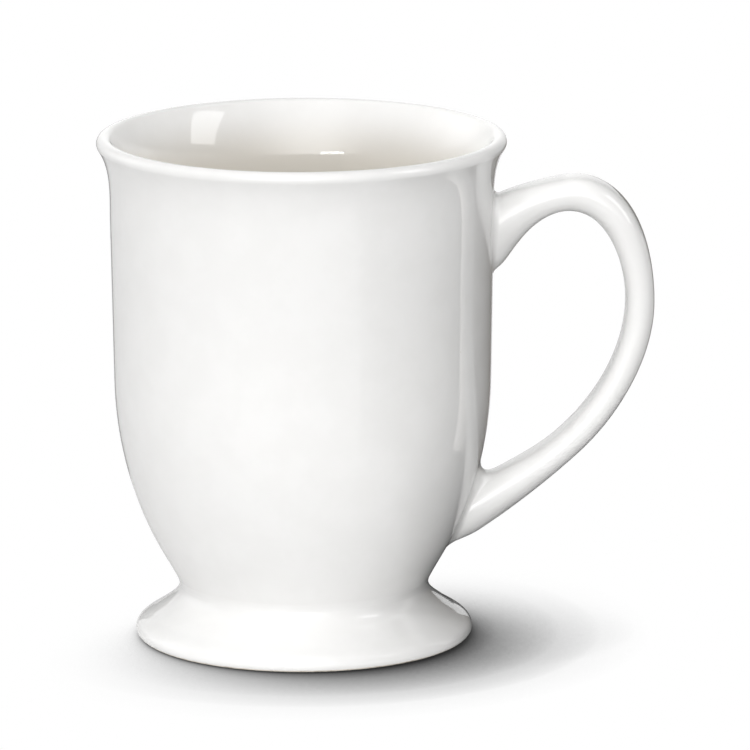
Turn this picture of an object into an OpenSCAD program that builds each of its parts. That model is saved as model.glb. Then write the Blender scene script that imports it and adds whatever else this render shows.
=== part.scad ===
// Footed mug: a thin bowl with a flared rim on a spreading hollow foot, and a looped strap handle.
// The bowl, the foot and the handle are separate pieces of ware, held by slip where they meet.
// +Z is up, +X points to the handle, and the origin is the middle of the foot ring, on the table.
// An outline is a chain of stations, each [across, up, heading in degrees, thickness], and the curve
// leaves each station along its heading.

/* [Bowl] */
// Height of the mug from the table to the rim
mug_h = 113.5; // [108:0.5:122]
// Outside diameter over the rim
rim_d = 91; // [89:0.5:97]
// Thickness of the rounded lip
lip_t = 3.3; // [2.8:0.1:4]
// Angle between the flared lip and upright
lip_lean = 33; // [15:1:45]
// Outside diameter of the neck, under the flare
neck_d = 85.2; // [82:0.2:88]
// Distance from the rim down to the neck
neck_drop = 19.5; // [14:0.5:26]
// Outside diameter of the barrel, where it begins to round in
barrel_d = 84; // [80:0.5:87]
// Height of that point of the barrel
barrel_h = 58; // [50:0.5:66]
// Outside diameter of the haunch, where the rounded part becomes a cone
haunch_d = 66.6; // [62:0.2:70]
// Height of the haunch
haunch_h = 22.3; // [20:0.1:26]
// Thickness of the bowl's wall
wall_t = 4.9; // [3.5:0.1:5.5]
// Thickness of the bowl's floor, over the spigot
floor_t = 5; // [3:0.1:7]
// Diameter of the flat part of the floor inside
well_d = 28; // [16:1:36]

/* [Waist] */
// Outside diameter at the waist, where the bowl meets the foot
waist_d = 55.8; // [52:0.2:60]
// Height of the waist
waist_h = 12.5; // [11:0.1:15]
// Width of the seat on the foot, round the spigot under the bowl's floor
seat_w = 6.9; // [5:0.1:10]
// Length of the spigot
spigot_h = 2; // [1:0.1:3]

/* [Foot] */
// Diameter over the foot
foot_d = 75.4; // [73:0.2:82]
// Radius of the foot's rounded edge
foot_edge_r = 1.5; // [1:0.1:2]
// Diameter at the foot's shoulder, where its hollow curve turns over
shoulder_d = 67; // [64:0.2:69]
// Height of the foot's shoulder
shoulder_h = 5.4; // [4.6:0.1:6.4]
// Width of the flat ring that stands on the table
ring_w = 3.2; // [2:0.1:5]

/* [Handle] */
// Distance from the barrel to the middle of the handle's far side
handle_reach = 33.1; // [29:0.1:38]
// Distance from the rim down to the middle of the handle where it crests
handle_drop = 13.8; // [12:0.1:18]
// Height of the middle of the handle's lower end
handle_base_h = 27.7; // [26:0.1:31]
// Width of the strap
handle_w = 12; // [10:0.1:14]
// Thickness of the strap at its far side
handle_t = 6.4; // [5:0.1:7]

/* [Slip] */
// Thickness of the slip between two pieces
slip_t = 0.3; // [0.2:0.05:0.5]
// Width of the bead of slip squeezed out round the handle's ends
handle_bead = 1.2; // [0.8:0.1:1.6]
// Radius of the bead of slip squeezed out at the waist
waist_bead_r = 0.5; // [0.4:0.1:1]

/* [Hidden] */

glaze = [0.95, 0.95, 0.93];
round_fn = 144;

// Points on each stretch of an outline, on the half-round lip and on a rounded edge
stretch_points = 9;
lip_points = 12;
edge_points = 6;

// Headings of the bowl's and the foot's outlines, going down the outside
neck_heading = -91;
barrel_heading = -91;
haunch_heading = -117;
waist_heading = -116;
foot_heading = -100;
shoulder_heading = -36;

// The hollow under the foot: its throat under the spigot, and the small round inside the ring
throat_h = 1.2;
ring_round = 0.8;
hollow_heading = 120;

// How far the bead at the waist stands out of it
waist_bead_proud = 0.2;

// The strap's middle line, from the upper end to the lower end. The first two numbers are shares of the
// handle's reach and rise, the third is the heading as it is where reach and rise are drawn equally long,
// and the last is a share of the strap's thickness. The first and last stations lie inside the bowl's
// outline, where the strap is cut off.
handle_shares = [
    [-0.230, 0.807, 36.5, 2.50],
    [-0.062, 0.853, 32, 2.09],
    [0.435, 1, 6, 1.15],
    [0.653, 0.997, -9.5, 1.25],
    [1, 0.668, -90, 1],
    [0.800, 0.376, -143.5, 0.95],
    [0.520, 0.221, -157, 0.97],
    [-0.163, 0, -163, 1.53],
    [-0.313, -0.015, -174.5, 2.03]
];
// Share of the strap's thickness that its broad faces crown by
crown_share = 0.1;
rings_per_stretch = 7;
strap_end_points = 8;

// The bead round an end of the handle: how deep it starts under the skins and how full it is, as shares
// of its width, and how closely the strap's way out of the bowl is found
bead_sunk_share = 0.3;
bead_swell_share = 0.55;
bead_step_share = 0.05;
search_steps = 12;

rim_r = rim_d / 2;
waist_r = waist_d / 2;
spigot_r = waist_r - seat_w;
socket_r = spigot_r + slip_t;
spigot_z = waist_h - spigot_h;
floor_z = spigot_z + floor_t;
seat_z = waist_h - slip_t;
ring_outer_r = foot_d / 2 - foot_edge_r;
ring_inner_r = ring_outer_r - ring_w;
handle_rise = mug_h - handle_drop - handle_base_h;

// The point t of the way from station a to station b, as a station
function between(a, b, t) =
    let (
        p = [a[0], a[1]],
        q = [b[0], b[1]],
        reach = norm(q - p),
        u = reach * [cos(a[2]), sin(a[2])],
        v = reach * [cos(b[2]), sin(b[2])],
        s = t * t * (3 - 2 * t),
        place = p + s * (q - p) + t * (1 - t) * ((1 - t) * u - t * v),
        way = 6 * t * (1 - t) * (q - p) + (1 - t) * (1 - 3 * t) * u + t * (3 * t - 2) * v
    )
    [place[0], place[1], atan2(way[1], way[0]), a[3] + s * (b[3] - a[3])];

// A chain of stations filled in with n points on each stretch
function chain(stations, n) = concat(
    [
        for (i = [0:len(stations) - 2])
            for (j = [0:n - 1])
                between(stations[i], stations[i + 1], j / n)
    ],
    [stations[len(stations) - 1]]
);

// A station's place, moved out by a distance to the left of its heading
function aside(station, distance) =
    [station[0] - distance * sin(station[2]), station[1] + distance * cos(station[2])];

// The points after the first on an arc
function arc(centre, r, from, to, n) =
    [for (i = [1:n]) centre + r * [cos(from + (to - from) * i / n), sin(from + (to - from) * i / n)]];

function reversed(list) = [for (i = [len(list) - 1:-1:0]) list[i]];
function after_first(list) = [for (i = [1:len(list) - 1]) list[i]];
function unit(v) = v / norm(v);

// The bowl's outside, from under the lip down to the waist, and its inside, one wall away
lip_centre = [rim_r - lip_t / 2, mug_h - lip_t / 2];
lip_end = lip_centre + lip_t / 2 * [cos(lip_lean), -sin(lip_lean)];
bowl_chain = chain(
    [
        [lip_end[0], lip_end[1], -90 - lip_lean, lip_t],
        [neck_d / 2, mug_h - neck_drop, neck_heading, wall_t],
        [barrel_d / 2, barrel_h, barrel_heading, wall_t],
        [haunch_d / 2, haunch_h, haunch_heading, wall_t],
        [waist_r, waist_h, waist_heading, wall_t]
    ],
    stretch_points
);
bowl_outside = [for (p = bowl_chain) aside(p, 0)];
bowl_inside = [for (i = [0:3 * stretch_points]) aside(bowl_chain[i], -bowl_chain[i][3])];
inside_end = bowl_inside[3 * stretch_points];
well_chain = chain(
    [[inside_end[0], inside_end[1], haunch_heading, wall_t], [well_d / 2, floor_z, -180, wall_t]],
    stretch_points
);
bowl_outline = concat(
    bowl_outside,
    [[spigot_r, waist_h], [spigot_r, spigot_z], [0, spigot_z], [0, floor_z]],
    reversed([for (p = after_first(well_chain)) aside(p, 0)]),
    reversed(bowl_inside),
    arc(lip_centre, lip_t / 2, 180 - lip_lean, -lip_lean, lip_points - 1)
);

// The foot's outside, from its seat down to the ring, and the hollow under it
foot_outside = chain(
    [
        [waist_r, seat_z, foot_heading, 0],
        [shoulder_d / 2, shoulder_h, shoulder_heading, 0],
        [foot_d / 2, foot_edge_r, -90, 0]
    ],
    stretch_points
);
foot_hollow = chain(
    [
        [ring_inner_r - ring_round, ring_round, hollow_heading, 0],
        [socket_r, spigot_z - throat_h, 90, 0]
    ],
    stretch_points
);
foot_outline = concat(
    [for (p = foot_outside) aside(p, 0)],
    arc([ring_outer_r, foot_edge_r], foot_edge_r, 0, -90, edge_points),
    [[ring_inner_r, 0]],
    arc([ring_inner_r, ring_round], ring_round, -90, -180, edge_points),
    [for (p = after_first(foot_hollow)) aside(p, 0)],
    [[socket_r, seat_z]]
);

// The strap's stations in real sizes, the last value being half its thickness
handle_stations = [
    for (s = handle_shares) [
        barrel_d / 2 + s[0] * handle_reach,
        handle_base_h + s[1] * handle_rise,
        atan2(handle_rise * sin(s[2]), handle_reach * cos(s[2])),
        s[3] * handle_t / 2
    ]
];
handle_last = len(handle_stations) - 1;

// The strap's middle line at s stations from the upper end
function strap_at(s) =
    let (i = min(floor(s), handle_last - 1))
    between(handle_stations[i], handle_stations[i + 1], s - i);

// The strap's section as [across its thickness, across its width]: full-round edges and crowned faces
section_count = 2 * strap_end_points + 2;
function strap_section(half_t) =
    let (
        r = half_t * (1 - crown_share),
        end_r = min(r, handle_w / 2),
        edge = [for (i = [0:strap_end_points - 1]) 180 * i / (strap_end_points - 1)],
        flat = concat(
            [[r, 0]],
            [for (a = edge) [r * cos(a), handle_w / 2 - end_r + end_r * sin(a)]],
            [[-r, 0]],
            [for (a = edge) [-r * cos(a), end_r - handle_w / 2 - end_r * sin(a)]]
        )
    )
    [for (p = flat) [p[0] * crown(p[1]), p[1]]];

// How much fuller the section is at a place across its width than at its edges
function crown(y) = 1 + crown_share / (1 - crown_share) * (1 - pow(2 * y / handle_w, 2));

// The ring of points round the strap at s
function strap_ring(s) =
    let (m = strap_at(s))
    [for (p = strap_section(m[3])) let (q = aside(m, p[0])) [q[0], p[1], q[1]]];

// Faces between ring a and ring b of n points each
function band(a, b, n) = [
    for (i = [0:n - 1])
        for (face = let (j = (i + 1) % n) [
            [a * n + i, b * n + i, b * n + j],
            [a * n + i, b * n + j, a * n + j]
        ])
            face
];

// The strap from station from to station to, with flat ends
module strap(from, to) {
    last = (to - from) * rings_per_stretch;
    rings = [for (i = [0:last]) strap_ring(from + i / rings_per_stretch)];
    polyhedron(
        points = [for (ring = rings) for (p = ring) p],
        faces = concat(
            [[for (i = [section_count - 1:-1:0]) i]],
            [for (k = [0:last - 1]) for (face = band(k, k + 1, section_count)) face],
            [[for (i = [0:section_count - 1]) last * section_count + i]]
        )
    );
}

// Everything inside the bowl's outside, grown by a distance
module bowl_space(grow) {
    outside = [for (p = bowl_chain) aside(p, grow)];
    rotate_extrude($fn = round_fn)
        polygon(concat([[0, outside[0][1]]], outside, [[0, outside[len(outside) - 1][1]]]));
}

// The bowl's outside radius at a height
bowl_heights = reversed([for (p = bowl_outside) [p[1], p[0]]]);
function bowl_r(z) = lookup(z, bowl_heights);

// Where line k of the strap comes out of the bowl, between s stations inside and outside it
function way_out(k, inside, outside, tries) =
    let (
        middle = (inside + outside) / 2,
        p = strap_ring(middle)[k],
        is_inside = norm([p[0], p[1]]) < bowl_r(p[2])
    )
    tries == 0
        ? middle
        : way_out(k, is_inside ? middle : inside, is_inside ? outside : middle, tries - 1);

// The bead's section at line k of the strap: inside both skins, under the wall, at the bead's fullest
// and under the strap's skin
function bead_section(k, inside, outside) =
    let (
        s = way_out(k, inside, outside, search_steps),
        corner = strap_ring(s)[k],
        middle = strap_at(s),
        along = unit(strap_ring(s + (outside - inside) * bead_step_share)[k] - corner),
        off_strap = unit(corner - [middle[0], 0, middle[1]]),
        around = unit([corner[0], corner[1]]),
        slope = (bowl_r(corner[2] + slip_t) - bowl_r(corner[2] - slip_t)) / (2 * slip_t),
        off_wall = unit([around[0], around[1], -slope]),
        over_wall = unit(off_strap - (off_strap * off_wall) * off_wall),
        sunk = handle_bead * bead_sunk_share
    )
    [
        corner - sunk * (off_wall + off_strap),
        corner + handle_bead * over_wall - sunk * off_wall,
        corner + handle_bead * bead_swell_share * (over_wall + along),
        corner + handle_bead * along - sunk * off_strap
    ];

// The bead of slip right round an end of the strap
module bead(inside, outside) {
    sections = [for (k = [0:section_count - 1]) bead_section(k, inside, outside)];
    n = len(sections[0]);
    turned = inside > outside;
    polyhedron(
        points = [for (section = sections) for (p = section) p],
        faces = [
            for (k = [0:section_count - 1])
                for (face = band(k, (k + 1) % section_count, n))
                    turned ? reversed(face) : face
        ]
    );
}

module handle_body() {
    difference() {
        strap(0, handle_last);
        bowl_space(slip_t);
    }
}

// The slip at one end of the handle, between its cut face and the bowl, with its bead
module handle_slip(inside, outside) {
    difference() {
        union() {
            bead(inside, outside);
            intersection() {
                strap(min(inside, outside), max(inside, outside));
                bowl_space(slip_t);
            }
        }
        bowl_space(0);
        handle_body();
    }
}

module bowl() {
    color(glaze)
        rotate_extrude($fn = round_fn)
            polygon(bowl_outline);
}

module pedestal_foot() {
    color(glaze)
        rotate_extrude($fn = round_fn)
            polygon(foot_outline);
}

module handle() {
    color(glaze)
        handle_body();
}

module upper_handle_slip() {
    color(glaze)
        handle_slip(0, 2);
}

module lower_handle_slip() {
    color(glaze)
        handle_slip(handle_last, handle_last - 2);
}

// The slip on the foot's seat and round the spigot, with the bead at the waist
module foot_slip() {
    color(glaze)
        difference() {
            rotate_extrude($fn = round_fn)
                union() {
                    polygon([
                        [spigot_r, spigot_z],
                        [socket_r, spigot_z],
                        [socket_r, seat_z],
                        [waist_r, seat_z],
                        [waist_r, waist_h],
                        [spigot_r, waist_h]
                    ]);
                    translate([waist_r + waist_bead_proud - waist_bead_r, waist_h - slip_t / 2])
                        circle(r = waist_bead_r, $fn = round_fn);
                }
            bowl();
            pedestal_foot();
        }
}

bowl();
pedestal_foot();
handle();
upper_handle_slip();
lower_handle_slip();
foot_slip();
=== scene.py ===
import logging
import math
from dataclasses import dataclass, field
from enum import Enum
from typing import Callable

import bpy
import numpy as np
from mathutils import Matrix, Vector


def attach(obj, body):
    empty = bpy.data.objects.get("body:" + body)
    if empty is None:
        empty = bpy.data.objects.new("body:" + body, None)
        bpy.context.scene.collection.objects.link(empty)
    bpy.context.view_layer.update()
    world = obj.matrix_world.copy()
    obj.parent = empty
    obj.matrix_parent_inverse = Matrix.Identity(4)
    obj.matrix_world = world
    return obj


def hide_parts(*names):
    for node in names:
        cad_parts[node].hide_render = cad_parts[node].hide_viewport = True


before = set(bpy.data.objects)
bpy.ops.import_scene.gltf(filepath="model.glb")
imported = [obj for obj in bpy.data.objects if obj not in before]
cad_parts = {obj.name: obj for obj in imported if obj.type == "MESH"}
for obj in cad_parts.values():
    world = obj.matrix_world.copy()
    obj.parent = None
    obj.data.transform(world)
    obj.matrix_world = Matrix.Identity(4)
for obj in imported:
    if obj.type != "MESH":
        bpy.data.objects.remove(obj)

Pair = tuple[float, float]
Colour = tuple[float, float, float]
Socket = bpy.types.NodeSocket

LOG = logging.getLogger("footed_mug")
MM = 0.001
BODY = "root"
UP = Vector((0.0, 0.0, 1.0))
AIM = Vector((0.0, 0.0, 0.055))
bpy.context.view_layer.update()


# Outlines


@dataclass(frozen=True)
class Station:
    """A place on an outline, in millimetres, with the heading in degrees that the line leaves it by."""

    across: float
    up: float
    heading: float
    thickness: float = 0.0

    def aside(self, distance: float = 0.0) -> Pair:
        """The place moved out by a distance to the left of the heading."""
        turn = math.radians(self.heading)
        return (self.across - distance * math.sin(turn), self.up + distance * math.cos(turn))


def between(a: Station, b: Station, t: float) -> Station:
    """Finds a place between two stations on the smooth line that joins them.

    Args:
        a: The station that the line leaves.
        b: The station that it reaches.
        t: The share of the way, from 0 to 1.

    Returns:
        The station there, with its own heading and thickness.
    """
    p = np.array([a.across, a.up])
    q = np.array([b.across, b.up])
    reach = float(np.linalg.norm(q - p))
    turns = (math.radians(a.heading), math.radians(b.heading))
    u, v = (reach * np.array([math.cos(turn), math.sin(turn)]) for turn in turns)
    s = t * t * (3 - 2 * t)
    place = p + s * (q - p) + t * (1 - t) * ((1 - t) * u - t * v)
    way = 6 * t * (1 - t) * (q - p) + (1 - t) * (1 - 3 * t) * u + t * (3 * t - 2) * v
    heading = math.degrees(math.atan2(way[1], way[0]))
    return Station(float(place[0]), float(place[1]), heading, a.thickness + s * (b.thickness - a.thickness))


def chain(stations: list[Station], count: int) -> list[Station]:
    """Fills in a chain of stations, with so many steps to each stretch between two of them."""
    filled = [between(a, b, j / count) for a, b in zip(stations, stations[1:]) for j in range(count)]
    return [*filled, stations[-1]]


def arc(centre: Pair, radius: float, start: float, end: float, count: int) -> list[Pair]:
    """Lays points on an arc from an angle to another, in degrees, and leaves the first one out."""
    angles = [math.radians(start + (end - start) * i / count) for i in range(1, count + 1)]
    return [(centre[0] + radius * math.cos(a), centre[1] + radius * math.sin(a)) for a in angles]


def rounded(points: list[Pair], corners: dict[int, float], count: int = 6) -> list[Pair]:
    """Rounds some corners of an open outline.

    Args:
        points: The outline.
        corners: The index of each corner to round, and how far back the rounding starts.
        count: How many steps each rounding gets.

    Returns:
        The outline with those corners replaced by short curves.
    """
    result: list[Pair] = []
    for i, point in enumerate(points):
        if i not in corners:
            result.append(point)
            continue
        corner = np.array(point)
        before, after = np.array(points[i - 1]) - corner, np.array(points[i + 1]) - corner
        a = corner + before / np.linalg.norm(before) * corners[i]
        b = corner + after / np.linalg.norm(after) * corners[i]
        for j in range(count + 1):
            t = j / count
            spot = (1 - t) ** 2 * a + 2 * t * (1 - t) * corner + t * t * b
            result.append((float(spot[0]), float(spot[1])))
    return result


def measured(places: list[np.ndarray]) -> Callable[[float], np.ndarray]:
    """Makes the function that finds the place on a line at a distance from its first place.

    Args:
        places: The line.

    Returns:
        The function.
    """
    table = np.array(places)
    away = np.linalg.norm(table - table[0], axis=1)
    return lambda distance: np.array([np.interp(distance, away, column) for column in table.T])


def fillet(
    first: Callable[[float], np.ndarray], second: Callable[[float], np.ndarray], reach: float, steps: int
) -> list[np.ndarray]:
    """Lays a fillet that leaves one surface and meets another without a crease.

    Args:
        first: Finds the place on the first surface at a distance from the corner.
        second: Finds the place on the second.
        reach: How far from the corner it starts and ends.
        steps: How many pieces it is laid in.

    Returns:
        Its places, from the first surface to the second.
    """
    curve = []
    for i in range(steps + 1):
        t = i / steps
        share = t**3 * (10 - 15 * t + 6 * t * t)
        curve.append((1 - share) * first(reach * (1 - t)) + share * second(reach * t))
    return curve


def unit(v: np.ndarray) -> np.ndarray:
    """The same direction, one long."""
    return v / np.linalg.norm(v)


# Node graphs


@dataclass(frozen=True)
class Noise:
    """A noise texture: its features to the metre, its finer layers and how strong these are."""

    scale: float
    detail: float = 2.0
    roughness: float = 0.5


@dataclass
class Graph:
    """A node tree that is being laid out, with short ways to add and join its nodes."""

    tree: bpy.types.NodeTree

    def add(self, kind: str, inputs: dict | None = None, label: str = "", **settings: object) -> bpy.types.Node:
        """Adds a node.

        Args:
            kind: The node's type.
            inputs: What its inputs get, by name or place: a value, an output, or a node for its first output.
            label: What it is for.
            settings: Its properties.

        Returns:
            The new node.
        """
        node = self.tree.nodes.new(kind)
        node.label = label
        for key, value in settings.items():
            setattr(node, key, value)
        for key, value in (inputs or {}).items():
            if isinstance(value, bpy.types.Node):
                value = value.outputs[0]
            if isinstance(value, Socket):
                self.tree.links.new(value, node.inputs[key])
            else:
                node.inputs[key].default_value = value
        return node

    def math(self, operation: str, *numbers: object) -> Socket:
        """Works out a number from others, given as values or outputs."""
        return self.add("ShaderNodeMath", dict(enumerate(numbers)), operation=operation).outputs[0]

    def vector(self, operation: str, *places: object, label: str = "", gives: str = "Vector") -> Socket:
        """Works out a vector, or a number where it gives a Value, from vectors as values or outputs."""
        node = self.add("ShaderNodeVectorMath", dict(enumerate(places)), label, operation=operation)
        return node.outputs[gives]

    def height(self, place: Socket) -> Socket:
        """Splits off a vector's upward part."""
        return self.add("ShaderNodeSeparateXYZ", {0: place}).outputs["Z"]

    def band(self, value: Socket, low: float, high: float) -> Socket:
        """Maps a number smoothly from 0 at a low value to 1 at a high one."""
        inputs = {"Value": value, "From Min": low, "From Max": high, "To Min": 0.0, "To Max": 1.0}
        return self.add("ShaderNodeMapRange", inputs, interpolation_type="SMOOTHSTEP").outputs["Result"]

    def noise(self, place: Socket, noise: Noise) -> Socket:
        """Reads a noise texture at a place."""
        inputs = {"Vector": place, "Scale": noise.scale, "Detail": noise.detail, "Roughness": noise.roughness}
        return self.add("ShaderNodeTexNoise", inputs).outputs["Fac"]

    def blend(self, factor: Socket, a: object, b: object) -> Socket:
        """Mixes two numbers by a share of the second."""
        return self.add("ShaderNodeMix", {0: factor, 2: a, 3: b}, data_type="FLOAT").outputs[0]

    def mix(self, factor: Socket, a: object, b: object) -> Socket:
        """Mixes two colours, given as values or outputs, by a share of the second."""
        a, b = (c if isinstance(c, Socket) else (*c, 1.0) for c in (a, b))
        return self.add("ShaderNodeMix", {0: factor, 6: a, 7: b}, data_type="RGBA").outputs[2]


def emptied(owner: bpy.types.Material | bpy.types.World) -> Graph:
    """Empties a material's or a world's node tree.

    Args:
        owner: The material or world.

    Returns:
        Its graph, ready to be laid out.
    """
    owner.use_nodes = True
    owner.node_tree.nodes.clear()
    return Graph(owner.node_tree)


# Finishes


@dataclass(frozen=True)
class BareWare:
    """Fired ware where the glaze is wiped off up to a height, matt and finely grained."""

    top: float
    colour: Colour = (0.70, 0.66, 0.59)
    stain: Colour = (0.52, 0.47, 0.40)
    stain_noise: Noise = Noise(2600.0 / 6, 4.0, 0.6)
    stain_band: Pair = (0.42, 0.75)
    roughness: float = 0.78
    grain: Noise = Noise(2600.0, 2.0, 0.6)
    grain_depth: float = 0.035 * MM
    edge: Noise = Noise(300.0)
    edge_swing: float = 0.25 * MM
    edge_width: float = 0.08 * MM

    def mask(self, graph: Graph, place: Socket) -> Socket:
        """Marks the ring that stands on the table, where the glaze is wiped off.

        Args:
            graph: The graph to add to.
            place: The output that gives the place.

        Returns:
            1 on bare ware and 0 on glaze, with a slightly uneven line between them.
        """
        wander = graph.math("MULTIPLY", graph.noise(place, self.edge), self.edge_swing)
        height = graph.math("SUBTRACT", graph.height(place), wander)
        return graph.band(height, self.top, self.top - self.edge_width)


@dataclass(frozen=True)
class PaintedInnerShade:
    """Painted shade inside a vessel: the glaze's colour made darker and warmer down its inner wall and on its
    floor, where less light reaches.
    """

    # the painted shade's colour, darker and warmer than the glaze
    colour: Colour = (0.665, 0.634, 0.578)
    inwards: Pair = (-0.1, -0.6)
    upwards: Pair = (0.3, 0.6)
    reach: Pair = (0.041, 0.0369)
    height: Pair = (0.112, 0.099)

    def mask(self, graph: Graph, place: Socket) -> Socket:
        """Marks the inside of the vessel, where the shade is painted.

        Args:
            graph: The graph to add to.
            place: The output that gives the place.

        Returns:
            0 outside and at the lip, growing down the inside's wall to 1, and 1 on its floor.
        """
        level = graph.vector("MULTIPLY", place, (1.0, 1.0, 0.0), label="place across the axis")
        out = graph.vector("NORMALIZE", level, label="straight out")
        across = graph.vector("LENGTH", level, label="distance from the axis", gives="Value")
        normal = graph.add("ShaderNodeTexCoord").outputs["Normal"]
        faces = graph.vector("DOT_PRODUCT", normal, out, label="how far it faces out", gives="Value")
        upwards = graph.band(graph.height(normal), *self.upwards)
        floor = graph.math("MULTIPLY", upwards, graph.band(across, *self.reach))
        inside = graph.math("MAXIMUM", graph.band(faces, *self.inwards), floor)
        return graph.math("MULTIPLY", inside, graph.band(graph.height(place), *self.height))


@dataclass(frozen=True)
class Glaze:
    """A glossy white glaze with the faint unevenness of a dipped and fired coat."""

    name: str
    colour: Colour = (0.815, 0.811, 0.802)
    thick_colour: Colour = (0.80, 0.796, 0.786)
    thick_band: Pair = (0.35, 0.65)
    cloud: Noise = Noise(130.2, 3.0, 0.55)
    roughness: float = 0.035
    roughness_swing: float = 0.02
    roughness_band: Pair = (0.3, 0.7)
    ior: float = 1.52
    flow: Noise = Noise(42.0, 2.0, 0.45)
    flow_depth: float = 0.11 * MM
    peel: Noise = Noise(620.0)
    peel_depth: float = 0.0035 * MM
    speck_colour: Colour = (0.62, 0.57, 0.50)
    speck_scale: float = 260.0
    speck_size: float = 0.045
    speck_rarity: float = 0.992
    speck_strength: float = 0.55
    # painted shade inside a vessel, if it has one
    painted_inner_shade: PaintedInnerShade | None = None
    bare: BareWare | None = None

    def specks(self, graph: Graph, place: Socket) -> Socket:
        """Marks the few iron specks in the glaze.

        Args:
            graph: The graph to add to.
            place: The output that gives the place.

        Returns:
            How strongly a speck shows there.
        """
        inputs = {"Vector": place, "Scale": self.speck_scale}
        cells = graph.add("ShaderNodeTexVoronoi", inputs, "specks", feature="F1")
        near = graph.math("LESS_THAN", cells.outputs["Distance"], self.speck_size)
        chance = graph.add("ShaderNodeSeparateColor", {"Color": cells.outputs["Color"]}).outputs["Red"]
        few = graph.math("GREATER_THAN", chance, self.speck_rarity)
        return graph.math("MULTIPLY", graph.math("MULTIPLY", near, few), self.speck_strength)

    def material(self) -> bpy.types.Material:
        """Lays out the glaze's nodes.

        Returns:
            The material.
        """
        material = bpy.data.materials.new(self.name)
        graph = emptied(material)
        place = graph.add("ShaderNodeTexCoord").outputs["Object"]
        flow, cloud, peel = (graph.noise(place, noise) for noise in (self.flow, self.cloud, self.peel))
        colour = graph.mix(graph.band(cloud, *self.thick_band), self.colour, self.thick_colour)
        # painted shade: the colour turns darker and warmer down the inside of the bowl
        if self.painted_inner_shade:
            colour = graph.mix(self.painted_inner_shade.mask(graph, place), colour, self.painted_inner_shade.colour)
        colour = graph.mix(self.specks(graph, place), colour, self.speck_colour)
        swing = graph.math("MULTIPLY", graph.band(cloud, *self.roughness_band), self.roughness_swing)
        roughness = graph.math("ADD", self.roughness - self.roughness_swing / 2, swing)
        waves = graph.math("MULTIPLY", flow, self.flow_depth / MM)
        height = graph.math("ADD", waves, graph.math("MULTIPLY", peel, self.peel_depth / MM))
        if self.bare:
            wiped = self.bare.mask(graph, place)
            stained = graph.band(graph.noise(place, self.bare.stain_noise), *self.bare.stain_band)
            colour = graph.mix(wiped, colour, graph.mix(stained, self.bare.colour, self.bare.stain))
            roughness = graph.blend(wiped, roughness, self.bare.roughness)
            grain = graph.math("MULTIPLY", graph.noise(place, self.bare.grain), wiped)
            height = graph.math("ADD", height, graph.math("MULTIPLY", grain, self.bare.grain_depth / MM))
        bump = graph.add("ShaderNodeBump", {"Strength": 1.0, "Distance": MM, "Height": height})
        coat = {"Base Color": colour, "Roughness": roughness, "IOR": self.ior, "Normal": bump}
        graph.add("ShaderNodeOutputMaterial", {"Surface": graph.add("ShaderNodeBsdfPrincipled", coat, "glaze")})
        return material


# Meshes


def new_object(name: str, data: bpy.types.ID) -> bpy.types.Object:
    """Puts an object with its data in the scene.

    Args:
        name: Its name.
        data: Its mesh, lamp or camera.

    Returns:
        The object.
    """
    made = bpy.data.objects.new(name, data)
    bpy.context.scene.collection.objects.link(made)
    return made


def new_mesh(name: str, points: list, edges: list, faces: list) -> bpy.types.Object:
    """Makes a mesh object in the scene.

    Args:
        name: Its name.
        points: Its points, in metres.
        edges: Its loose edges.
        faces: Its faces.

    Returns:
        The object.
    """
    mesh = bpy.data.meshes.new(name)
    mesh.from_pydata([tuple(p) for p in points], edges, faces)
    mesh.update()
    return new_object(name, mesh)


def skin(rows: list[int], count: int) -> list[tuple[int, ...]]:
    """Joins rows of points, each closed on itself, to a skin.

    Args:
        rows: The number of each row, in the order in which they are joined.
        count: How many points a row has.

    Returns:
        The faces.
    """
    faces = []
    for a, b in zip(rows, rows[1:]):
        for k in range(count):
            j = (k + 1) % count
            faces.append((a * count + k, a * count + j, b * count + j, b * count + k))
    return faces


def dress(made: bpy.types.Object, glaze: Glaze, crease: float = 50.0) -> bpy.types.Object:
    """Turns a closed mesh's faces outwards, shades it smooth and glazes it.

    Args:
        made: The mesh's object.
        glaze: Its glaze.
        crease: The bend in degrees from which an edge stays sharp.

    Returns:
        The object.
    """
    mesh = made.data
    volume = 0.0
    points = [v.co for v in mesh.vertices]
    for face in mesh.polygons:
        a = points[face.vertices[0]]
        for i in range(1, len(face.vertices) - 1):
            volume += a.dot(points[face.vertices[i]].cross(points[face.vertices[i + 1]]))
    if volume < 0:
        mesh.flip_normals()
    mesh.update()
    mesh.polygons.foreach_set("use_smooth", [True] * len(mesh.polygons))
    mesh.set_sharp_from_angle(angle=math.radians(crease))
    mesh.update()
    mesh.materials.append(glaze.material())
    return made


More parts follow.
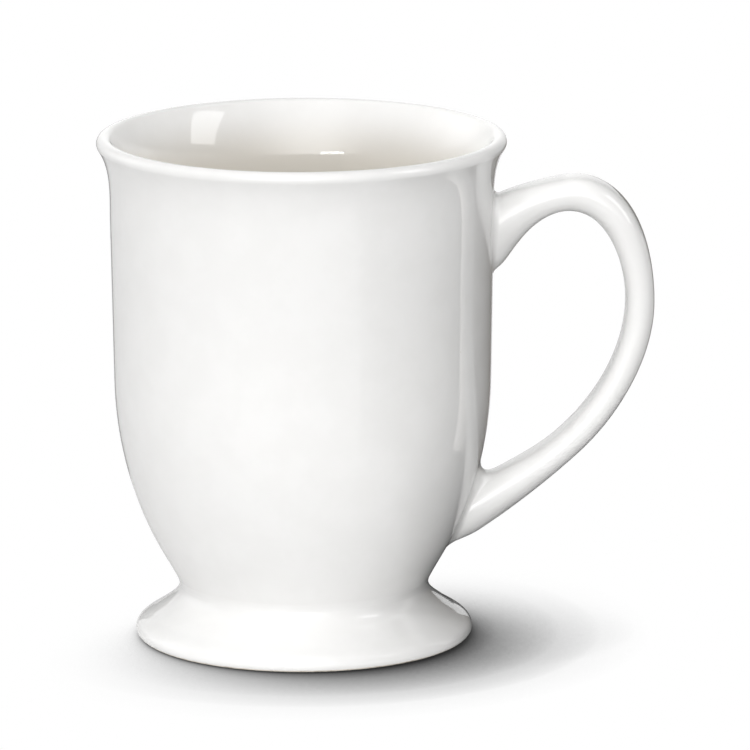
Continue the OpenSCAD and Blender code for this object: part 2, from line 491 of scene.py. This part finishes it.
@dataclass
class Lathe:
    """A Geometry Nodes tree that turns a closed outline round the mug's axis, as a potter's wheel does."""

    segments: int = 288
    merge_distance: float = 0.002 * MM
    crease: float = 35.0
    tree: bpy.types.NodeTree = field(init=False)
    sockets: dict[str, str] = field(default_factory=dict)

    def __post_init__(self) -> None:
        """Lays out the tree once, for every turned piece."""
        self.tree = bpy.data.node_groups.new("turned_on_the_wheel", "GeometryNodeTree")
        face = self.tree.interface
        kinds = {
            "Outline": "Geometry",
            "Outline points": "Int",
            "Segments": "Int",
            "Crease angle": "Float",
            "Merge distance": "Float",
            "Finish": "Material",
        }
        for name, kind in kinds.items():
            socket = face.new_socket(name, in_out="INPUT", socket_type=f"NodeSocket{kind}")
            self.sockets[name] = socket.identifier
        face.new_socket("Ware", in_out="OUTPUT", socket_type="NodeSocketGeometry")
        self.lay_out(Graph(self.tree))

    def lay_out(self, graph: Graph) -> None:
        """Adds the tree's nodes.

        Args:
            graph: The tree to fill.
        """
        given = graph.add("NodeGroupInput").outputs
        whole = "FunctionNodeIntegerMath"
        columns = graph.add(whole, {0: given["Segments"], 1: 1}, "columns with the seam's", operation="ADD")
        sides = {"Vertices X": given["Outline points"], "Vertices Y": columns}
        grid = graph.add("GeometryNodeMeshGrid", sides)
        index = graph.add("GeometryNodeInputIndex")
        row = graph.add(whole, {0: index, 1: columns}, "place on the outline", operation="DIVIDE_FLOOR")
        column = graph.add(whole, {0: index, 1: columns}, "place round the axis", operation="MODULO")
        angle = graph.math("MULTIPLY", graph.math("DIVIDE", column, given["Segments"]), 2 * math.pi)
        position = graph.add("GeometryNodeInputPosition")
        sampled = {"Geometry": given["Outline"], "Value": position, "Index": row}
        place = graph.add("GeometryNodeSampleIndex", sampled, data_type="FLOAT_VECTOR", domain="POINT")
        swung = {"Vector": place, "Angle": angle}
        turned = graph.add("ShaderNodeVectorRotate", swung, "turned round the axis", rotation_type="Z_AXIS")
        placed = graph.add("GeometryNodeSetPosition", {"Geometry": grid, "Position": turned})
        closed = {"Geometry": placed, "Distance": given["Merge distance"]}
        merged = graph.add("GeometryNodeMergeByDistance", closed, "seam and poles closed")
        shading = "GeometryNodeSetShadeSmooth"
        soft = graph.add(shading, {"Geometry": merged, "Shade Smooth": True}, domain="FACE")
        bend = graph.add("GeometryNodeInputMeshEdgeAngle").outputs["Unsigned Angle"]
        limit = {0: bend, 1: given["Crease angle"]}
        blunt = graph.add("FunctionNodeCompare", limit, data_type="FLOAT", operation="LESS_THAN")
        creased = graph.add(shading, {"Geometry": soft, "Shade Smooth": blunt}, domain="EDGE")
        real = graph.add("GeometryNodeRealizeInstances", {"Geometry": creased})
        finished = graph.add("GeometryNodeSetMaterial", {"Geometry": real, "Material": given["Finish"]})
        graph.add("NodeGroupOutput", {0: finished})

    def turn(self, name: str, outline: list[Pair], glaze: Glaze) -> bpy.types.Object:
        """Turns an outline into a closed piece.

        Args:
            name: The piece's name.
            outline: Its points in millimetres, across and up, anticlockwise, so that faces look outwards.
            glaze: Its glaze.

        Returns:
            The piece, as a plain mesh.
        """
        points = [(max(r, 0.0) * MM, 0.0, z * MM) for r, z in outline]
        made = new_mesh(name, points, [(i, i + 1) for i in range(len(points) - 1)], [])
        modifier = made.modifiers.new("turned", "NODES")
        modifier.node_group = self.tree
        values = {
            "Outline points": len(points),
            "Segments": self.segments,
            "Crease angle": math.radians(self.crease),
            "Merge distance": self.merge_distance,
            "Finish": glaze.material(),
        }
        for key, value in values.items():
            modifier[self.sockets[key]] = value
        graph = bpy.context.evaluated_depsgraph_get()
        mesh = bpy.data.meshes.new_from_object(made.evaluated_get(graph))
        made.modifiers.remove(modifier)
        outline_mesh = made.data
        made.data = mesh
        bpy.data.meshes.remove(outline_mesh)
        mesh.name = name
        return made


# The mug's pieces


@dataclass
class Bowl:
    """The vessel: one thin turned wall with a flared, rounded lip, a closed floor and a spigot."""

    height: float = 113.5
    rim_r: float = 45.5
    lip_t: float = 3.3
    lip_lean: float = 33.0
    neck_r: float = 42.6
    neck_drop: float = 19.5
    neck_heading: float = -91.0
    barrel_r: float = 42.0
    barrel_h: float = 58.0
    barrel_heading: float = -91.0
    haunch_r: float = 33.3
    haunch_h: float = 22.3
    haunch_heading: float = -117.0
    waist_r: float = 27.9
    waist_h: float = 12.5
    waist_heading: float = -116.0
    wall_t: float = 4.9
    floor_t: float = 5.0
    well_r: float = 14.0
    seat_w: float = 6.9
    spigot_h: float = 2.0
    spigot_arris: float = 0.4
    foot_arris: float = 0.12
    steps: int = 20
    lip_steps: int = 28
    profile_steps: int = 60
    # the glaze carries a painted shade inside the bowl
    glaze: Glaze = Glaze("bowl_glaze", painted_inner_shade=PaintedInnerShade())

    @property
    def spigot_r(self) -> float:
        """Radius of the spigot under the floor."""
        return self.waist_r - self.seat_w

    @property
    def spigot_z(self) -> float:
        """Height of the spigot's end."""
        return self.waist_h - self.spigot_h

    @property
    def floor_z(self) -> float:
        """Height of the floor inside."""
        return self.spigot_z + self.floor_t

    def outside(self, count: int) -> list[Station]:
        """Gives the outside, from under the lip down to the waist.

        Args:
            count: How many steps each stretch gets.

        Returns:
            Its stations.
        """
        lean, lip_r = math.radians(self.lip_lean), self.lip_t / 2
        under_lip = (self.rim_r - lip_r * (1 - math.cos(lean)), self.height - lip_r * (1 + math.sin(lean)))
        stations = [
            Station(*under_lip, -90 - self.lip_lean, self.lip_t),
            Station(self.neck_r, self.height - self.neck_drop, self.neck_heading, self.wall_t),
            Station(self.barrel_r, self.barrel_h, self.barrel_heading, self.wall_t),
            Station(self.haunch_r, self.haunch_h, self.haunch_heading, self.wall_t),
            Station(self.waist_r, self.waist_h, self.waist_heading, self.wall_t),
        ]
        return chain(stations, count)

    def outline(self) -> list[Pair]:
        """Gives the closed outline of the whole wall, anticlockwise.

        Returns:
            Its points, from the spigot's middle out, up over the lip and back to the floor's middle.
        """
        outer = self.outside(self.steps)
        inner = [s.aside(-s.thickness) for s in outer[: -self.steps]]
        haunch = Station(*inner[-1], self.haunch_heading)
        well = chain([haunch, Station(self.well_r, self.floor_z, -180.0)], self.steps)
        lip_r = self.lip_t / 2
        lip_centre = (self.rim_r - lip_r, self.height - lip_r)
        whole = [
            (0.0, self.spigot_z),
            (self.spigot_r, self.spigot_z),
            (self.spigot_r, self.waist_h),
            (self.waist_r, self.waist_h),
            *[s.aside() for s in reversed(outer[:-1])],
            *arc(lip_centre, lip_r, -self.lip_lean, 180 - self.lip_lean, self.lip_steps),
            *inner[1:],
            *[s.aside() for s in well[1:]],
            (0.0, self.floor_z),
        ]
        return rounded(whole, {1: self.spigot_arris, 3: self.foot_arris})

    def radius(self) -> Callable[[float], float]:
        """Gives a way to find the outside radius at a height.

        Returns:
            The function.
        """
        radii, heights = np.array([s.aside() for s in reversed(self.outside(self.profile_steps))]).T
        return lambda z: float(np.interp(z, heights, radii))

    def build(self, lathe: Lathe) -> bpy.types.Object:
        """Turns and glazes the bowl."""
        return lathe.turn("bowl_body", self.outline(), self.glaze)


@dataclass
class PedestalFoot:
    """The hollow spreading foot: its socket, its open underside and the ring that stands on the table."""

    bowl: Bowl
    foot_r: float = 37.7
    edge_r: float = 1.5
    shoulder_r: float = 33.5
    shoulder_h: float = 5.4
    shoulder_heading: float = -36.0
    top_heading: float = -100.0
    ring_w: float = 3.2
    slip_t: float = 0.3
    throat_h: float = 1.2
    ring_round: float = 0.8
    hollow_heading: float = 120.0
    steps: int = 22
    edge_steps: int = 14
    ring_steps: int = 10
    glaze: Glaze = Glaze("foot_glaze", bare=BareWare(top=0.42 * MM))

    @property
    def seat_z(self) -> float:
        """Height of the seat that the bowl stands on, under the slip."""
        return self.bowl.waist_h - self.slip_t

    @property
    def socket_r(self) -> float:
        """Radius of the socket, with the slip round the spigot."""
        return self.bowl.spigot_r + self.slip_t

    def outside(self, count: int) -> list[Station]:
        """Gives the outside, from the seat down to the rounded edge.

        Args:
            count: How many steps each stretch gets.

        Returns:
            Its stations.
        """
        stations = [
            Station(self.bowl.waist_r, self.seat_z, self.top_heading),
            Station(self.shoulder_r, self.shoulder_h, self.shoulder_heading),
            Station(self.foot_r, self.edge_r, -90.0),
        ]
        return chain(stations, count)

    def outline(self) -> list[Pair]:
        """Gives the closed outline of the foot's ring, anticlockwise.

        Returns:
            Its points, from the seat's outer edge round by the socket and the ring, back to that edge.
        """
        ring_outer = self.foot_r - self.edge_r
        ring_inner = ring_outer - self.ring_w
        ring_end = Station(ring_inner - self.ring_round, self.ring_round, self.hollow_heading)
        throat = Station(self.socket_r, self.bowl.spigot_z - self.throat_h, 90.0)
        clockwise = [
            *[s.aside() for s in self.outside(self.steps)],
            *arc((ring_outer, self.edge_r), self.edge_r, 0, -90, self.edge_steps),
            (ring_inner, 0.0),
            *arc((ring_inner, self.ring_round), self.ring_round, -90, -180, self.ring_steps),
            *[s.aside() for s in chain([ring_end, throat], self.steps)[1:]],
            (self.socket_r, self.seat_z),
        ]
        return [clockwise[0], *reversed(clockwise)]

    def build(self, lathe: Lathe) -> bpy.types.Object:
        """Turns and glazes the foot."""
        return lathe.turn("foot_body", self.outline(), self.glaze)


@dataclass
class FootSlip:
    """The slip on the foot's seat and round the spigot, smoothed into a small fillet at the waist."""

    bowl: Bowl
    foot: PedestalFoot
    reach: float = 1.0
    sink: float = 0.02
    steps: int = 20
    fine_steps: int = 400
    glaze: Glaze = Glaze("slip_glaze")

    def outline(self) -> list[Pair]:
        """Gives the closed outline of the slip, anticlockwise.

        Returns:
            Its points, from the fillet on the foot up to the bowl, and back round the spigot.
        """
        above = [np.array(s.aside()) for s in reversed(self.bowl.outside(self.fine_steps)[:-1])]
        below = [np.array(s.aside()) for s in self.foot.outside(self.fine_steps)]
        curve = fillet(measured(below), measured(above), self.reach, self.steps)
        loop = [
            *[(across - self.sink, up) for across, up in curve],
            (self.bowl.waist_r, self.bowl.waist_h),
            (self.bowl.spigot_r, self.bowl.waist_h),
            (self.bowl.spigot_r, self.bowl.spigot_z),
            (self.foot.socket_r, self.bowl.spigot_z),
            (self.foot.socket_r, self.foot.seat_z),
            (self.bowl.waist_r, self.foot.seat_z),
        ]
        return [*loop, loop[0]]

    def build(self, lathe: Lathe) -> bpy.types.Object:
        """Turns and glazes the slip."""
        return lathe.turn("waist_slip", self.outline(), self.glaze)


@dataclass
class Handle:
    """The solid looped strap, crowned across its width, its two ends cut to the curve of the bowl.

    Each entry of shares is a station of its middle line: across and up as shares of the reach and the
    rise, the heading in those shares, and the thickness as a share of the handle's.
    """

    bowl: Bowl
    reach: float = 33.1
    drop: float = 13.8
    base_h: float = 27.7
    width: float = 12.0
    thickness: float = 6.4
    crown_share: float = 0.1
    slip_t: float = 0.3
    rings: int = 168
    edge_steps: int = 18
    face_steps: int = 6
    halvings: int = 26
    root_span: float = 2.0
    shares: tuple[tuple[float, float, float, float], ...] = (
        (-0.230, 0.807, 36.5, 2.50),
        (-0.062, 0.853, 32.0, 2.09),
        (0.435, 1.0, 6.0, 1.15),
        (0.653, 0.997, -9.5, 1.25),
        (1.0, 0.668, -90.0, 1.0),
        (0.800, 0.376, -143.5, 0.95),
        (0.520, 0.221, -157.0, 0.97),
        (-0.163, 0.0, -163.0, 1.53),
        (-0.313, -0.015, -174.5, 2.03),
    )
    glaze: Glaze = Glaze("handle_glaze")
    stations: list[Station] = field(default_factory=list)
    section: list[tuple[float, float, float]] = field(default_factory=list)
    wall: Callable[[float], float] = field(init=False)

    def __post_init__(self) -> None:
        """Works out the middle line's stations, and the shares that lay out its section."""
        rise = self.bowl.height - self.drop - self.base_h
        for across, up, share_heading, thickness in self.shares:
            turn = math.radians(share_heading)
            heading = math.degrees(math.atan2(rise * math.sin(turn), self.reach * math.cos(turn)))
            place = (self.bowl.barrel_r + across * self.reach, self.base_h + up * rise)
            self.stations.append(Station(*place, heading, thickness * self.thickness / 2))
        self.wall = self.bowl.radius()
        turns = [math.pi * i / self.edge_steps for i in range(self.edge_steps + 1)]
        faces = [-1 + 2 * i / self.face_steps for i in range(1, self.face_steps)]
        for side in (1.0, -1.0):
            self.section += [(side * math.cos(a), side, side * math.sin(a)) for a in turns]
            self.section += [(-side, -side * f, 0.0) for f in faces]

    @property
    def last(self) -> int:
        """The number of the last station."""
        return len(self.shares) - 1

    def middle(self, s: float) -> Station:
        """The strap's middle line at s stations from the upper end."""
        i = min(max(int(math.floor(s)), 0), self.last - 1)
        return between(self.stations[i], self.stations[i + 1], s - i)

    def section_at(self, half: float) -> list[Pair]:
        """Gives the strap's section.

        Args:
            half: Half the thickness there.

        Returns:
            Its points as (across the thickness, across the width).
        """
        plain = half * (1 - self.crown_share)
        end = min(plain, self.width / 2)
        points = []
        for thick, flat, bent in self.section:
            along = flat * (self.width / 2 - end) + bent * end
            swell = 1 + self.crown_share / (1 - self.crown_share) * (1 - (2 * along / self.width) ** 2)
            points.append((thick * plain * swell, along))
        return points

    def ring(self, s: float) -> np.ndarray:
        """The section's points in space at s stations from the upper end."""
        m = self.middle(s)
        return np.array([(*m.aside(a), w) for a, w in self.section_at(m.thickness)])[:, [0, 2, 1]]

    def way_out(self, k: int, inside: float, outside: float, gap: float = 0.0) -> float:
        """Finds where a line of the strap comes out of the bowl's wall.

        Args:
            k: The line.
            inside: A place on it inside the wall.
            outside: One outside.
            gap: How far the wall is grown.

        Returns:
            The place, in stations from the upper end.
        """
        for _ in range(self.halvings):
            middle = (inside + outside) / 2
            x, y, z = self.ring(middle)[k]
            if math.hypot(x, y) - self.wall(z) - gap < 0:
                inside = middle
            else:
                outside = middle
        return (inside + outside) / 2

    def build(self) -> bpy.types.Object:
        """Sweeps, caps and glazes the handle.

        Returns:
            The piece.
        """
        count, last = len(self.section), self.last
        starts = [self.way_out(k, 0.0, self.root_span, self.slip_t) for k in range(count)]
        ends = [self.way_out(k, last, last - self.root_span, self.slip_t) for k in range(count)]
        rows = []
        for i in range(self.rings + 1):
            t = i / self.rings
            rows.append([self.ring(starts[k] + (ends[k] - starts[k]) * t)[k] for k in range(count)])
        points = [p * MM for row in rows for p in row]
        faces = skin([*range(self.rings + 1)], count)
        for row, first in ((rows[0], 0), (rows[-1], self.rings * count)):
            middle = np.mean(row, axis=0)
            middle[0] = self.wall(middle[2]) + self.slip_t
            points.append(middle * MM)
            hub = len(points) - 1
            for k in range(count):
                j = (k + 1) % count
                faces.append((first + j, first + k, hub) if first == 0 else (first + k, first + j, hub))
        return dress(new_mesh("handle_strap", points, [], faces), self.glaze)


class Root(Enum):
    """The two ends of the handle."""

    UPPER = "upper"
    LOWER = "lower"


@dataclass
class HandleSlip:
    """The slip at one end of the handle, wiped into a fillet between the strap and the bowl."""

    handle: Handle
    root: Root
    side_reach: float
    loop_reach: float
    far_reach: float = 2.1
    reach_power: int = 3
    sink: float = 0.012
    bury: float = 0.25
    probe: float = 0.2
    strap_step: float = 0.004
    steps: int = 24
    glaze: Glaze = Glaze("slip_glaze")

    @property
    def span(self) -> Pair:
        """A place inside the bowl and one outside, in stations from the handle's upper end."""
        last, span = self.handle.last, self.handle.root_span
        return (0.0, span) if self.root is Root.UPPER else (last, last - span)

    def wall_point(self, p: np.ndarray) -> np.ndarray:
        """A point moved level onto the wall, and sunk a little into it."""
        onto = self.handle.wall(p[2]) - self.sink
        return np.array([*(p[:2] / math.hypot(p[0], p[1]) * onto), p[2]])

    def section(self, k: int) -> list[np.ndarray]:
        """Lays the fillet's section at one line of the strap.

        Args:
            k: The line.

        Returns:
            Its points, from the strap over the fillet to the wall, and one buried under the two skins.
        """
        wall, (inside, outside) = self.handle.wall, self.span
        s = self.handle.way_out(k, inside, outside)
        corner = self.handle.ring(s)[k]
        middle = self.handle.middle(s)
        across = self.handle.section_at(middle.thickness)[k][0]
        share = min(1.0, abs(across) / middle.thickness)
        end_reach = self.loop_reach if across < 0 else self.far_reach
        reach = self.side_reach + (end_reach - self.side_reach) * share**self.reach_power
        off_strap = unit(corner - np.array([middle.across, 0.0, middle.up]))
        slope = (wall(corner[2] + self.probe) - wall(corner[2] - self.probe)) / (2 * self.probe)
        off_wall = unit(np.array([*(corner[:2] / math.hypot(corner[0], corner[1])), -slope]))
        over_wall = unit(off_strap - (off_strap @ off_wall) * off_wall)
        strap = [corner]
        while np.linalg.norm(strap[-1] - corner) < reach:
            s += (outside - inside) * self.strap_step
            strap.append(self.handle.ring(s)[k])
        on_strap = measured([p - self.sink * off_strap for p in strap])
        curve = fillet(on_strap, lambda d: self.wall_point(corner + d * over_wall), reach, self.steps)
        return [*curve, corner - self.bury * (off_wall + off_strap)]

    def build(self) -> bpy.types.Object:
        """Sweeps the fillet right round the handle's end and glazes it.

        Returns:
            The piece.
        """
        sections = [self.section(k) for k in range(len(self.handle.section))]
        points = [p * MM for section in sections for p in section]
        faces = skin([*range(len(sections)), 0], len(sections[0]))
        return dress(new_mesh(f"{self.root.value}_root_slip", points, [], faces), self.glaze)


# The studio


def direction(azimuth: float, elevation: float) -> Vector:
    """Gives a way out from the mug.

    Args:
        azimuth: Degrees round the axis, 0 towards the camera and 90 towards the handle.
        elevation: Degrees above level.

    Returns:
        The way, one metre long.
    """
    a, e = math.radians(azimuth), math.radians(elevation)
    return Vector((math.sin(a) * math.cos(e), -math.cos(a) * math.cos(e), math.sin(e)))


def hang(lamp: bpy.types.Light, centre: Vector, way: Vector, distance: float) -> bpy.types.Object:
    """Hangs a lamp so that it faces a place.

    Args:
        lamp: The lamp.
        centre: The place.
        way: The way out from the place to the lamp.
        distance: How far out it hangs.

    Returns:
        The lamp's object.
    """
    made = new_object(lamp.name, lamp)
    made.location = centre + way * distance
    made.rotation_euler = way.to_track_quat("Z", "Y").to_euler()
    return made


@dataclass(frozen=True)
class Softbox:
    """A small studio lamp behind a white cloth, which only shows in the glaze. A glow of 1 is white."""

    name: str
    azimuth: float
    elevation: float
    wide: float
    tall: float
    glow: float
    distance: float = 1.3

    def place(self) -> bpy.types.Object:
        """Hangs the lamp.

        Returns:
            The lamp's object.
        """
        lamp = bpy.data.lights.new(self.name, "AREA")
        lamp.shape = "RECTANGLE"
        lamp.size, lamp.size_y = (
            2 * self.distance * math.tan(math.radians(angle / 2)) for angle in (self.wide, self.tall)
        )
        lamp.energy = self.glow * math.pi * lamp.size * lamp.size_y
        made = hang(lamp, AIM, direction(self.azimuth, self.elevation), self.distance)
        made.visible_camera = made.visible_diffuse = False
        return made


@dataclass(frozen=True)
class Snoot:
    """A small lamp with a narrow beam and a soft edge, which the glaze doesn't mirror."""

    name: str
    azimuth: float
    elevation: float
    aim: tuple[float, float, float]
    reach: float
    glow: float
    distance: float = 0.8
    softness: float = 0.7
    size: float = 0.03

    def place(self) -> bpy.types.Object:
        """Hangs the lamp and aims it.

        Returns:
            The lamp's object.
        """
        lamp = bpy.data.lights.new(self.name, "SPOT")
        lamp.spot_size = 2 * math.atan2(self.reach, self.distance)
        lamp.spot_blend = self.softness
        lamp.shadow_soft_size = self.size
        lamp.energy = self.glow * 4 * (math.pi * self.distance) ** 2
        made = hang(lamp, Vector(self.aim), direction(self.azimuth, self.elevation), self.distance)
        made.visible_glossy = False
        return made


@dataclass(frozen=True)
class Card:
    """A narrow card that stands by the mug for its glaze to reflect, and lights and shades nothing else."""

    name: str
    start: float
    end: float
    height: float
    glow: float
    end_glow: float
    colour: Colour = (1.0, 1.0, 1.0)
    distance: float = 0.14
    steps: int = 8

    def place(self) -> bpy.types.Object:
        """Stands the card on the floor, curved round the mug's axis.

        Returns:
            The card's object.
        """
        shares = [i / self.steps for i in range(self.steps + 1)]
        low = [direction(self.start + (self.end - self.start) * t, 0.0) * self.distance for t in shares]
        points = [*low, *[p + UP * self.height for p in low]]
        top = len(low)
        made = new_mesh(self.name, points, [], [(i, i + 1, top + i + 1, top + i) for i in range(self.steps)])
        levels = [self.glow + (self.end_glow - self.glow) * t for t in shares]
        made.data.attributes.new("glow", "FLOAT", "POINT").data.foreach_set("value", levels * 2)
        material = bpy.data.materials.new(self.name)
        graph = emptied(material)
        glow = graph.add("ShaderNodeAttribute", attribute_name="glow").outputs["Fac"]
        light = graph.add("ShaderNodeEmission", {"Color": (*self.colour, 1.0), "Strength": glow})
        graph.add("ShaderNodeOutputMaterial", {"Surface": light})
        made.data.materials.append(material)
        made.visible_camera = made.visible_diffuse = made.visible_shadow = made.visible_transmission = False
        return made


@dataclass(frozen=True)
class Shade:
    """A part of the mug's shadow on the floor: its reach, where its light comes from and its depth."""

    reach: float
    azimuth: float
    tilt: float
    depth: float


@dataclass(frozen=True)
class Glow:
    """A soft pool of light on the white cloth tent round the mug, with no edge that could show."""

    azimuth: float
    elevation: float
    tightness: float
    strength: float


@dataclass
class Studio:
    """The pale floor, the white surroundings, the soft lamps and the camera."""

    floor_half: float = 5.0
    floor_colour: float = 0.82
    # painted shadow: a dark patch in the floor's colour beside the foot, which the glaze reflects and the
    # floor's bounce light carries
    painted_shadow_colour: float = 0.05
    painted_shadow_azimuth: float = 114.0
    painted_shadow_distance: float = 0.16
    painted_shadow_full: float = 0.115
    painted_shadow_end: float = 0.15
    camera_back: float = 1.7
    camera_up: float = 0.438463
    camera_turn: float = 0.542156
    camera_dip: float = 12.59
    camera_roll: float = 0.19249
    camera_focal_px: float = 7811.013
    picture_px: float = 750.0
    sensor: float = 36.0
    shade_samples: int = 16
    shades: tuple[Shade, ...] = (
        Shade(0.02, -135.0, 78.0, 2.55),
        Shade(0.04, -135.0, 78.0, 1.35),
    )
    glows: tuple[Glow, ...] = (
        Glow(-7.0, 9.0, 8.0, 5.25),
        Glow(-5.0, 60.0, 8.0, 1.65),
        Glow(0.0, 88.0, 14.0, 1.25),
        Glow(-115.0, 12.0, 8.0, 1.95),
        Glow(-120.0, 58.0, 8.0, 0.6),
        Glow(68.0, 33.0, 14.0, 0.25),
        Glow(180.0, 8.0, 8.0, 1.5),
    )
    lamps: tuple[Softbox | Snoot, ...] = (
        Softbox("window_box", 70.0, 31.0, 18.0, 28.0, 3.6),
        Softbox("bar_box", -21.0, 10.5, 16.0, 3.5, 10.0, 1.2),
        Snoot("handle_snoot", -8.0, 1.0, (0.068, 0.0, 0.064), 0.036, 0.14),
        Snoot("root_snoot", -22.0, 1.0, (0.052, 0.0, 0.037), 0.020, 0.22),
        Snoot("inside_left_snoot", 85.0, 35.0, (-0.032, 0.0, 0.1), 0.034, 0.65),
        Snoot("inside_right_snoot", -80.0, 35.0, (0.036, 0.01, 0.106), 0.034, 0.36),
        Snoot("foot_snoot", -20.0, 56.0, (-0.005, -0.025, 0.013), 0.040, 0.16),
    )
    cards: tuple[Card, ...] = (
        Card("right_dark_card", 30.0, 97.0, 0.1, 0.0, 0.0),
        Card("right_bright_card", 97.0, 111.0, 0.1, 1.5, 0.3, (1.0, 0.97, 0.93)),
        Card("back_dark_card", 111.0, 150.0, 0.1, 0.04, 0.1, (1.0, 0.8, 0.6)),
        Card("left_grey_card", -166.0, -148.0, 0.1, 0.25, 0.25),
    )

    def hang_lamps(self) -> None:
        """Hangs every lamp and stands every card."""
        for item in (*self.lamps, *self.cards):
            item.place()

    def set_camera(self) -> bpy.types.Object:
        """Stands the camera where the photograph was taken from.

        Returns:
            The camera.
        """
        turn, dip, roll = (math.radians(v) for v in (self.camera_turn, self.camera_dip, self.camera_roll))
        ahead = Vector((math.sin(turn) * math.cos(dip), math.cos(turn) * math.cos(dip), -math.sin(dip)))
        right = Vector((math.cos(turn), -math.sin(turn), 0.0))
        top = right.cross(ahead)
        side = right * math.cos(roll) - top * math.sin(roll)
        head = top * math.cos(roll) + right * math.sin(roll)
        data = bpy.data.cameras.new("camera")
        data.sensor_width = self.sensor
        data.lens = self.camera_focal_px * self.sensor / self.picture_px
        made = new_object("camera", data)
        stand = Matrix.Translation((0.0, -self.camera_back, self.camera_up))
        made.matrix_world = stand @ Matrix((side, head, -ahead)).transposed().to_4x4()
        bpy.context.scene.camera = made
        return made

    def lay_floor(self) -> bpy.types.Object:
        """Lays the pale floor. The camera sees it white under the mug's shadow, and the glaze and the bounce
        light see a painted shadow, a dark patch beside the foot.

        Returns:
            The floor.
        """
        h = self.floor_half
        made = new_mesh("floor", [(-h, -h, 0), (h, -h, 0), (h, h, 0), (-h, h, 0)], [], [(0, 1, 2, 3)])
        material = bpy.data.materials.new("studio_floor")
        graph = emptied(material)
        place = graph.add("ShaderNodeTexCoord").outputs["Object"]
        middle = direction(self.painted_shadow_azimuth, 0.0) * self.painted_shadow_distance
        away = graph.vector("DISTANCE", place, middle, label="how far from the mat's middle", gives="Value")
        # painted shadow: the floor's colour turns dark towards the patch's middle
        painted_shadow = graph.band(away, self.painted_shadow_end, self.painted_shadow_full)
        colour = graph.mix(painted_shadow, (self.floor_colour,) * 3, (self.painted_shadow_colour,) * 3)
        lit = graph.add("ShaderNodeBsdfDiffuse", {"Color": colour})
        level: object = 1.0
        for shade in self.shades:
            way = dict(enumerate(direction(shade.azimuth, 90.0 - shade.tilt)))
            towards = graph.add("ShaderNodeCombineXYZ", way, "towards the light")
            inputs = {"Distance": shade.reach, "Normal": towards}
            open_sky = graph.add("ShaderNodeAmbientOcclusion", inputs, samples=self.shade_samples)
            lightness = graph.math("POWER", open_sky.outputs["AO"], shade.depth)
            level = graph.math("MULTIPLY", lightness, level)
        seen = graph.add("ShaderNodeEmission", {"Strength": level})
        camera = graph.add("ShaderNodeLightPath").outputs["Is Camera Ray"]
        both = graph.add("ShaderNodeMixShader", {0: camera, 1: lit, 2: seen})
        graph.add("ShaderNodeOutputMaterial", {"Surface": both})
        made.data.materials.append(material)
        return made

    def paint_world(self) -> None:
        """Sets the surroundings: white to the camera, and the tent's soft pools of light to the mug."""
        world = bpy.data.worlds.new("studio")
        bpy.context.scene.world = world
        graph = emptied(world)
        ahead = graph.add("ShaderNodeTexCoord").outputs["Generated"]
        level: object = 0.0
        for glow in self.glows:
            middle = direction(glow.azimuth, glow.elevation)
            near = graph.vector("DOT_PRODUCT", ahead, middle, label="nearness to the pool", gives="Value")
            fall = graph.math("MULTIPLY", graph.math("SUBTRACT", near, 1.0), glow.tightness)
            pool = graph.math("MULTIPLY", graph.math("EXPONENT", fall), glow.strength)
            level = graph.math("ADD", pool, level)
        camera = graph.add("ShaderNodeLightPath").outputs["Is Camera Ray"]
        back = graph.add("ShaderNodeBackground", {"Strength": graph.blend(camera, level, 1.0)})
        graph.add("ShaderNodeOutputWorld", {"Surface": back})


# Putting it together


def settle(piece: bpy.types.Object, node: str) -> None:
    """Hands a finished piece to the frame and reports it.

    Args:
        piece: The piece.
        node: The CAD node that it stands for.
    """
    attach(piece, BODY)
    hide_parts(node)
    points, faces = len(piece.data.vertices), len(piece.data.polygons)
    LOG.info("%s stands for %s: %d points, %d faces", piece.name, node, points, faces)


def main() -> None:
    """Builds the mug's pieces in order, then the studio round them."""
    logging.basicConfig(level=logging.INFO, format="%(name)s: %(message)s")
    bpy.context.scene.view_settings.view_transform = "Standard"
    lathe = Lathe()
    bowl = Bowl()
    foot = PedestalFoot(bowl)
    handle = Handle(bowl)
    settle(bowl.build(lathe), "bowl")
    settle(foot.build(lathe), "pedestal_foot")
    settle(FootSlip(bowl, foot).build(lathe), "foot_slip")
    settle(handle.build(), "handle")
    upper_slip = HandleSlip(handle, Root.UPPER, side_reach=2.4, loop_reach=1.0)
    lower_slip = HandleSlip(handle, Root.LOWER, side_reach=2.2, loop_reach=7.4)
    settle(upper_slip.build(), "upper_handle_slip")
    settle(lower_slip.build(), "lower_handle_slip")
    studio = Studio()
    studio.lay_floor()
    studio.paint_world()
    studio.hang_lamps()
    studio.set_camera()


if __name__ == "__main__":
    main()
